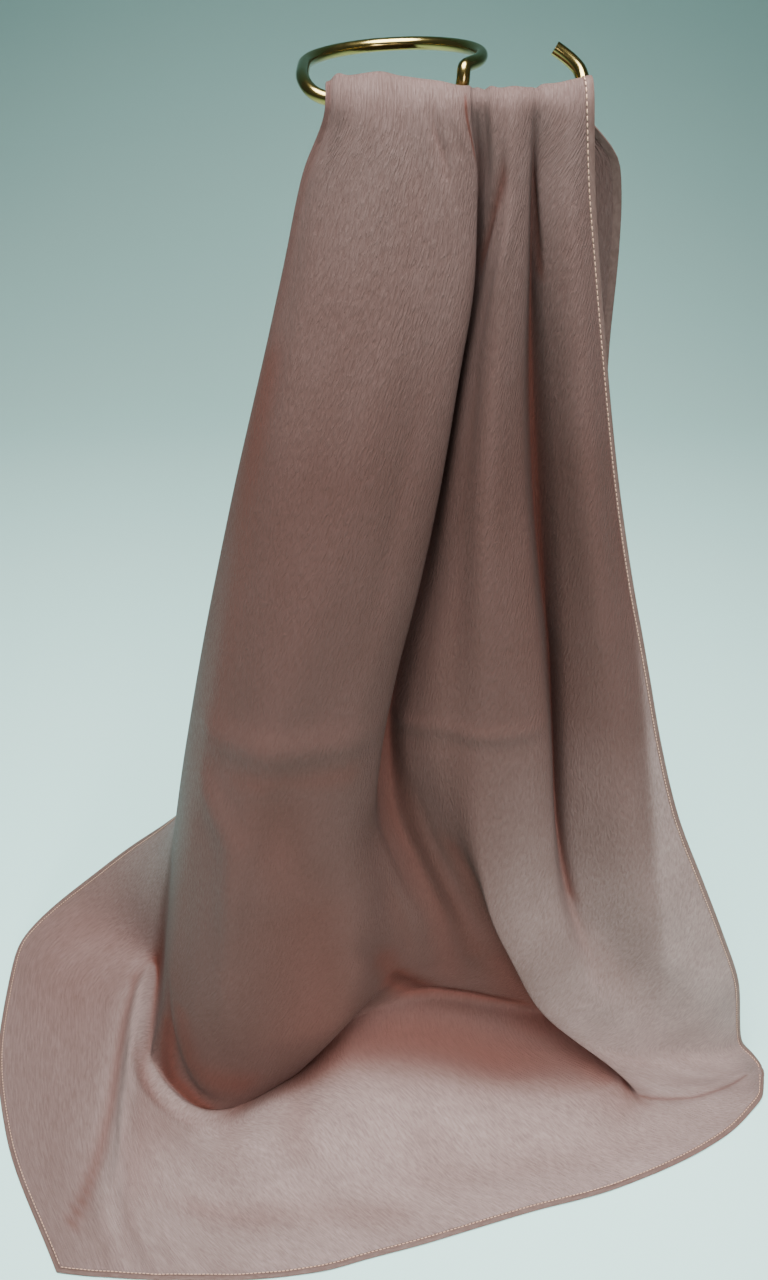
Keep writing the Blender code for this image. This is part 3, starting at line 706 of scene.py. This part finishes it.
pulls = pulls + ironed * np.sin(np.pi * s)
rear = rear + facing_of(rear) * pulls[..., None]
# painted shade: the rear fall is darkened towards the colour of a layer behind, and its pleats are shaded
rear_satin = sheet_object("rear_satin", rear, np.full(rear.shape[:2], BACK_LAYER_SHADE), depth_in_folds(rear))


# %% [markdown]
# ## Hems
# The edge of a fine scarf is turned twice and stitched, so it is four layers
# thick and a little rounded. Each hem is a narrow band that follows the sheet's
# own edge, swollen in its middle, with a thread that dips in every 2.7 mm.

# %% Hem bands
HEM_THICK = 1.1
HEM_PROFILE = (               # share of the width inwards, share of the thickness outwards
    (-0.06, 0.0), (-0.05, 0.62), (0.12, 0.92), (0.4, 1.0), (0.72, 0.94), (0.97, 0.55),
    (1.0, 0.2), (1.0, -0.2), (0.5, -0.3), (0.0, -0.3),
)
ROUND_STEP = 0.9              # mm of the thread map from one corner of the profile to the next


def unit(vectors):
    return vectors / np.maximum(np.linalg.norm(vectors, axis=-1, keepdims=True), 1e-9)


def run_along(line):
    """Distance along a line at each of its places, from 0."""
    return np.concatenate([[0.0], np.cumsum(np.linalg.norm(np.diff(line, axis=0), axis=-1))])


def at_run(wanted, run, line):
    """A line's places or directions at the wanted distances along it."""
    return np.stack([np.interp(wanted, run, line[:, k]) for k in range(3)], axis=-1)


def even_run(edge, inside, facing, step):
    """The same edge with places an even step apart, and its directions inwards and outwards."""
    run = run_along(edge)
    wanted = np.linspace(0.0, run[-1], max(2, int(run[-1] / step)))
    edge, inside, facing = (at_run(wanted, run, line) for line in (edge, inside, facing))
    return edge, unit(inside - edge), unit(facing)


def smooth_shade_outwards(degrees):
    """Makes the active mesh's faces point outwards and shades it smooth up to this angle."""
    bpy.ops.object.mode_set(mode="EDIT")
    bpy.ops.mesh.select_all(action="SELECT")
    bpy.ops.mesh.normals_make_consistent(inside=False)
    bpy.ops.object.mode_set(mode="OBJECT")
    bpy.ops.object.shade_smooth_by_angle(angle=math.radians(degrees))


def band_along(name, edge, inward, facing):
    """A closed, rounded band along one edge of a sheet."""
    ring = [edge + inward * (HEM_WIDTH * a) + facing * (HEM_THICK * (b - 0.25)) for a, b in HEM_PROFILE]
    places = np.stack(ring, axis=1)
    places[..., 2] = np.maximum(places[..., 2], 0.12)
    long, around = places.shape[:2]
    index = np.arange(long * around).reshape(long, around).tolist()
    faces = []
    for here, further in zip(index, index[1:]):
        for j in range(around):
            k = (j + 1) % around
            faces.append((here[j], here[k], further[k], further[j]))
    faces += [index[0][::-1], index[-1]]
    mesh = bpy.data.meshes.new(name)
    mesh.from_pydata(metres(places).reshape(-1, 3).tolist(), [], faces)
    set_thread_map(mesh, np.stack(np.broadcast_arrays(np.arange(around)[None, :] * ROUND_STEP / 1000.0,
                                                      run_along(edge)[:, None] / 1000.0), axis=-1))
    for attribute in ("layer_shade_and_wrong_side", "pleat"):
        mesh.attributes.new(attribute, "FLOAT", "POINT")
    made = link_object(name, mesh)
    select_only(made)
    smooth_shade_outwards(50)
    made.select_set(False)
    return made


HEM_STEP = 2.2
facing, rear_facing = facing_of(front), facing_of(rear)
start = int(np.searchsorted(down_at, 3.0))      # above this the left hem lies inside the folds
edges = {
    "hem_band_right": (front[:, -1], front[:, -4], facing[:, -1]),
    "hem_band_left": (front[start:, 0], front[start:, 3], facing[start:, 0]),
    "hem_band_end": (front[-1], front[-3], facing[-1]),
    "hem_band_rear": (rear[-1], rear[-3], rear_facing[-1]),
    "hem_band_rear_right": (rear[2:, 0], rear[2:, 3], rear_facing[2:, 0]),
    "hem_band_rear_left": (rear[2:, -1], rear[2:, -4], rear_facing[2:, -1]),
}
runs = {name: even_run(*parts, HEM_STEP) for name, parts in edges.items()}
bands = {name: band_along(name, *run) for name, run in runs.items()}
print({name: len(band.data.polygons) for name, band in bands.items()})

# %% [markdown]
# The stitches are what tells the size of the whole thing: each shows as a short
# peach-coloured thread, 2 mm on top and 0.7 mm down in the cloth. One stitch has
# a few dozen faces, and it is laid again and again along the hem's inner edge.

# %% Stitches
STITCH = 2.7                  # from one stitch to the next
HALF_STITCH = 1.05
STITCH_INSET, STITCH_HEIGHT = 3.3, 0.72
SIDES = 6
spindle = [(-1.0, 0.0, 0.0)]            # a tip, three rings of six, and a tip
for along, wide in ((-0.72, 0.24), (0.0, 0.32), (0.72, 0.24)):
    spindle += [(along, wide * math.cos(a), 0.6 * wide * math.sin(a)) for a in np.arange(SIDES) * math.pi / 3]
spindle.append((1.0, 0.0, 0.0))
spindle = np.array(spindle)
last = len(spindle) - 1
spindle_faces = [(0, 1 + (k + 1) % SIDES, 1 + k) for k in range(SIDES)]
for first in (1, 1 + SIDES):
    for k in range(SIDES):
        a, b = first + k, first + (k + 1) % SIDES
        spindle_faces.append((a, b, b + SIDES, a + SIDES))
spindle_faces += [(last, last - SIDES + k, last - SIDES + (k + 1) % SIDES) for k in range(SIDES)]


def stitches_along(name, edge, inward, facing):
    """A row of stitches on a hem band, as one mesh."""
    run = run_along(edge)
    centres = np.arange(STITCH, run[-1] - STITCH, STITCH)
    edge, inward, facing = (at_run(centres, run, line) for line in (edge, inward, facing))
    along = unit(np.gradient(edge, axis=0))
    out, side = unit(facing), unit(inward)
    side = unit(side - along * (side * along).sum(-1, keepdims=True))
    middle = edge + side * STITCH_INSET + out * STITCH_HEIGHT
    places = (middle[:, None] + spindle[None, :, 0:1] * along[:, None] * HALF_STITCH
              + spindle[None, :, 1:2] * side[:, None] + spindle[None, :, 2:3] * out[:, None])
    places[..., 2] = np.maximum(places[..., 2], 0.1)
    faces = [[n + len(spindle) * i for n in face] for i in range(len(centres)) for face in spindle_faces]
    mesh = bpy.data.meshes.new(name)
    mesh.from_pydata(metres(places).reshape(-1, 3).tolist(), [], faces)
    mesh.shade_smooth()
    return link_object(name, mesh), len(centres)


threads, total = {}, 0
for name, run in runs.items():
    threads[name], count = stitches_along(name.replace("hem_band", "stitches"), *run)
    total += count
print(total, "stitches")

# %% [markdown]
# ## The wire and its foot
# The stand is one length of round wire, bent cold: a free tip, a straight bar
# under the cloth, an open ring, a neck and a post. A curve with a round bevel
# is the natural way to draw bent wire, because its thickness never changes. It is
# made a mesh once its route is right. The foot is a turned disc.

# %% Wire
WIRE = 6.0
TIP = ((74.5, 12, 709), (78.5, 11.4, 706.6), (82.5, 10.4, 703.8), (86, 8.4, 700.2), (87.2, 5, 695.6),
       (85.8, 1.2, 691.2))
RING_RADIUS, RING_X, RING_HEIGHT = 41.0, 4.0, 699.0
RING_SLOPE, RING_TILT = 0.075, 2.0      # it rises a little towards the back and the right
NECK = ((35, 13, 695), (32.5, 15, 688), (32, 24, 678), (32, 48, 660), (32, 74, 632))
POST = (32.0, 95.0)
FOOT_RADIUS, FOOT_THICK = 75.0, 6.0
bar = [(x, 0.0, BAR_HEIGHT) for x in np.linspace(81.5, -22.0, 8)]
turn = [(-29, 1.5, BAR_HEIGHT + 1.5), (-34, 7, BAR_HEIGHT + 4.5), (-36.5, 18, BAR_HEIGHT + 7.5)]
ring = []
for angle in range(180, -41, -20):
    a = math.radians(angle)
    y = RING_RADIUS + RING_RADIUS * math.sin(a)
    ring.append((RING_X + RING_RADIUS * math.cos(a), y, RING_HEIGHT + RING_SLOPE * y + RING_TILT * math.cos(a)))
post = [(*POST, z) for z in np.linspace(590.0, FOOT_THICK + 0.3, 6)]
route = np.array([*TIP, *bar, *turn, *ring, *NECK, *post])
route_stops = run_along(route)
wanted = np.interp(np.arange(0, len(route) - 0.999, 0.2), range(len(route)), route_stops)
route = smooth(route_stops, route, wanted)
for _ in range(2):            # takes the last small kinks out of the bends, ends kept
    route[1:-1] = 0.25 * route[:-2] + 0.5 * route[1:-1] + 0.25 * route[2:]
bpy.ops.object.select_all(action="DESELECT")
bpy.ops.curve.primitive_nurbs_path_add(location=(0, 0, 0))
brass_wire = bpy.context.object
brass_wire.name = "bent_wire"
curve = brass_wire.data
curve.splines.clear()
line = curve.splines.new("POLY")
line.points.add(len(route) - 1)
for point, place in zip(line.points, metres(route)):
    point.co = (*place, 1.0)
curve.bevel_depth, curve.bevel_resolution = WIRE / 2000.0, 8
curve.use_fill_caps = True
bpy.ops.object.convert(target="MESH")
brass_wire = bpy.context.object
bpy.ops.object.mode_set(mode="EDIT")
bpy.ops.mesh.select_all(action="SELECT")
bpy.ops.mesh.remove_doubles(threshold=0.00002)
bpy.ops.object.mode_set(mode="OBJECT")
smooth_shade_outwards(45)
print("wire", round(route_stops[-1]), "mm long,", len(brass_wire.data.polygons), "faces")

# %% Foot
bpy.ops.object.select_all(action="DESELECT")
bpy.ops.mesh.primitive_cylinder_add(vertices=96, radius=FOOT_RADIUS / 1000.0, depth=FOOT_THICK / 1000.0,
                                    location=tuple(metres((*POST, FOOT_THICK / 2))))
foot = bpy.context.object
foot.name = "foot_plate"
bpy.ops.object.transform_apply(location=True, rotation=True, scale=True)
rounding = foot.modifiers.new("edge", "BEVEL")
rounding.width, rounding.segments = 0.0014, 4
bpy.ops.object.modifier_apply(modifier="edge")
bpy.ops.object.shade_smooth_by_angle(angle=math.radians(35))
foot.select_set(False)
print("foot", [round(x * 1000) for x in foot.dimensions], "mm")


# %% [markdown]
# ## Rose satin
# Satin is woven with long floats of a bright filament, so it has a soft sheen and
# not a hard gloss. This one has a crepe back: its surface is crinkled in short
# streaks along the length, about 1.3 mm apart. It is thin, so cloth with another
# layer behind it looks redder and deeper, and a single layer over a pale table looks
# greyer; here both are painted into the colour, as is the shade in pleats and in the
# streaks' hollows. The sheen comes from fine fibre ends that catch light at a low angle.

# %% Satin
def satin_material(name, single, double_layer_shade, deep, inside, deepest_pleat_shade, crinkle):
    """Satin over a pale table, with painted shade over a second layer, with darker dye clouds and painted shade
    in its hollows, in pleats and deep inside them.
    """
    made, tree = new_material(name)
    threads = add_node(tree, "ShaderNodeUVMap", {"uv_map": "thread_map"})
    # painted light and shade: the tone is greyer over the pale table and darker and redder where a layer lies
    # behind
    behind = add_node(tree, "ShaderNodeAttribute", {"attribute_name": "layer_shade_and_wrong_side"})
    tone = mix_colours(tree, behind.outputs["Fac"], single, double_layer_shade)
    # streaks of the crepe: 1.3 mm across by 5.5 mm along
    stretched = add_node(tree, "ShaderNodeMapping", Vector=threads.outputs[0])
    stretched.inputs["Scale"].default_value = (1 / 0.0013, 1 / 0.0055, 1.0)
    streak = add_node(tree, "ShaderNodeTexNoise", {"noise_dimensions": "2D"},
                      Vector=stretched.outputs[0], Scale=1.0, Detail=2.5, Roughness=0.6, Distortion=0.35)
    # cloudy change of tone, a few centimetres wide, from handling and uneven dye
    cloud_map = add_node(tree, "ShaderNodeMapping", Vector=threads.outputs[0])
    cloud_map.inputs["Scale"].default_value = (1 / 0.035, 1 / 0.07, 1.0)
    cloud = add_node(tree, "ShaderNodeTexNoise", {"noise_dimensions": "2D"},
                     Vector=cloud_map.outputs[0], Scale=1.0, Detail=3.0, Roughness=0.55)
    cloudy = add_node(tree, "ShaderNodeMapRange", Value=cloud.outputs[0], From_Min=0.3, From_Max=0.7,
                      To_Min=0.0, To_Max=0.22)
    tone = mix_colours(tree, cloudy.outputs[0], tone, deep)
    # painted shade: deep in a pleat the colour turns darker and redder, for the shade there and the light that
    # comes through several layers
    pleat = add_node(tree, "ShaderNodeAttribute", {"attribute_name": "pleat"})
    for start, end, deeper in ((0.0, 0.45, inside), (0.45, 1.0, deepest_pleat_shade)):
        depth = add_node(tree, "ShaderNodeMapRange", Value=pleat.outputs["Fac"], From_Min=start, From_Max=end)
        tone = mix_colours(tree, depth.outputs[0], tone, deeper)
    # painted shade: the streaks' hollows are darkened in the colour
    groove_shade = add_node(tree, "ShaderNodeMapRange", Value=streak.outputs[0], From_Min=0.3, From_Max=0.7,
                       To_Min=0.36, To_Max=0.0)
    tone = mix_colours(tree, groove_shade.outputs[0], tone, deep)
    # the weave itself is 0.12 mm, too fine to show; it is drawn at 0.5 mm
    weave_map = add_node(tree, "ShaderNodeMapping", Vector=threads.outputs[0])
    weave_map.inputs["Scale"].default_value = (1 / 0.0005, 1 / 0.0022, 1.0)
    weave = add_node(tree, "ShaderNodeTexNoise", {"noise_dimensions": "2D"},
                     Vector=weave_map.outputs[0], Scale=1.0, Detail=1.0)
    fine = add_node(tree, "ShaderNodeBump", Height=weave.outputs[0], Strength=0.25, Distance=0.00006)
    coarse = add_node(tree, "ShaderNodeBump", Height=streak.outputs[0], Normal=fine.outputs[0],
                      Strength=crinkle, Distance=0.0008)
    rough = add_node(tree, "ShaderNodeMapRange", Value=streak.outputs[0], From_Min=0.25, From_Max=0.75,
                     To_Min=0.66, To_Max=0.5)
    shader = add_node(tree, "ShaderNodeBsdfPrincipled", Base_Color=tone,
                      Roughness=rough.outputs[0], Normal=coarse.outputs[0],
                      Sheen_Weight=0.02, Sheen_Roughness=0.5, IOR=1.45)
    shader.inputs["Specular IOR Level"].default_value = 0.14
    shader.inputs["Sheen Tint"].default_value = colour("#e8dcd6")
    finish_material(tree, shader)
    return made


# the colours in order: over the pale table, painted shade of a layer behind, dye clouds and painted shade in
# the streaks' hollows, painted shade in pleats, and the deepest painted shade in them
satin = satin_material("rose_crepe_satin", "#8a7572", "#533b37", "#442b25", "#58312a", "#1f0906", 0.9)
hem_satin = satin_material("rose_satin_hem", "#6b5550", "#4f3833", "#402822", "#562f27", "#2a0e0a", 0.3)
print("satin in", len(satin.node_tree.nodes), "nodes")

# %% [markdown]
# ## Thread and brass
# The hem is sewn with a peach polyester thread. Its twist is finer than the
# picture shows, so a slanting wave of lighter and darker colour stands for it: painted light and shade of the
# twist. The wire is steel with a polished brass-coloured plating: nearly a mirror, with faint draw marks along
# it and a little dulling from hands.

# %% Thread
sewing_thread, tree = new_material("peach_polyester_thread")
place = add_node(tree, "ShaderNodeTexCoord")
# painted light and shade: lighter and darker bands along the twist
twist_shading = add_node(tree, "ShaderNodeTexWave", {"bands_direction": "DIAGONAL"},
                 Vector=place.outputs["Object"], Scale=900.0, Distortion=0.5)
tone = mix_colours(tree, twist_shading.outputs["Fac"], "#b98a72", "#cfa58c")
finish_material(tree, add_node(tree, "ShaderNodeBsdfPrincipled", Base_Color=tone,
                               Roughness=0.5, Sheen_Weight=0.2))

# %% Brass plating
brass, tree = new_material("polished_brass_plating")
place = add_node(tree, "ShaderNodeTexCoord")
handled = add_node(tree, "ShaderNodeTexNoise", Vector=place.outputs["Object"], Scale=60.0,
                   Detail=4.0, Roughness=0.6)
dull = add_node(tree, "ShaderNodeMapRange", Value=handled.outputs[0], From_Min=0.35, From_Max=0.7,
                To_Min=0.12, To_Max=0.24)
tarnish = mix_colours(tree, handled.outputs[0], "#b39d63", "#8c7643")
marks = add_node(tree, "ShaderNodeTexNoise", Vector=place.outputs["Object"], Scale=900.0, Detail=2.0)
drawn = add_node(tree, "ShaderNodeBump", Height=marks.outputs[0], Strength=0.05, Distance=0.00005)
finish_material(tree, add_node(tree, "ShaderNodeBsdfPrincipled", Base_Color=tarnish,
                               Metallic=1.0, Roughness=dull.outputs[0], Normal=drawn.outputs[0]))
print("brass", [n.bl_idname for n in brass.node_tree.nodes][:3], "...")

# %% [markdown]
# ## Putting it together
# Every piece gets its material and rides on the stand. The dressed pieces stand
# for the plain solids.

# %% Materials and places
for piece in (front_satin, rear_satin):
    piece.data.materials.append(satin)
for band in bands.values():
    band.data.materials.append(hem_satin)
for row in threads.values():
    row.data.materials.append(sewing_thread)
for piece in (brass_wire, foot):
    piece.data.materials.append(brass)
for piece in (front_satin, rear_satin, brass_wire, foot, *bands.values(), *threads.values()):
    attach(piece, "root")
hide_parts("left_flank_outer", "left_flank_inner", "middle_flank_left",
            "middle_flank_right", "right_flank_inner", "right_flank_outer", "margin_left",
            "spread_front", "flap_left")
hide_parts("back_wave_left", "back_wave_middle", "back_wave_right")
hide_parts("hem_right")
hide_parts("hem_left")
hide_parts("hem_end")
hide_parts("hem_back")
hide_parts("wire")
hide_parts("base")


# %% Areas of the sheets, and the pieces in front
def cloth_area(sheet):
    a, b = np.diff(sheet, axis=0)[:, :-1], np.diff(sheet, axis=1)[:-1]
    return np.linalg.norm(np.cross(a, b), axis=-1).sum() / 1e6


front_area, rear_area = cloth_area(front), cloth_area(rear)
print("front", round(front_area, 3), "m2, rear", round(rear_area, 3), "m2")
front_pieces = [bands[n] for n in ("hem_band_right", "hem_band_left", "hem_band_end")]
front_pieces += [threads[n] for n in ("hem_band_right", "hem_band_left", "hem_band_end")]
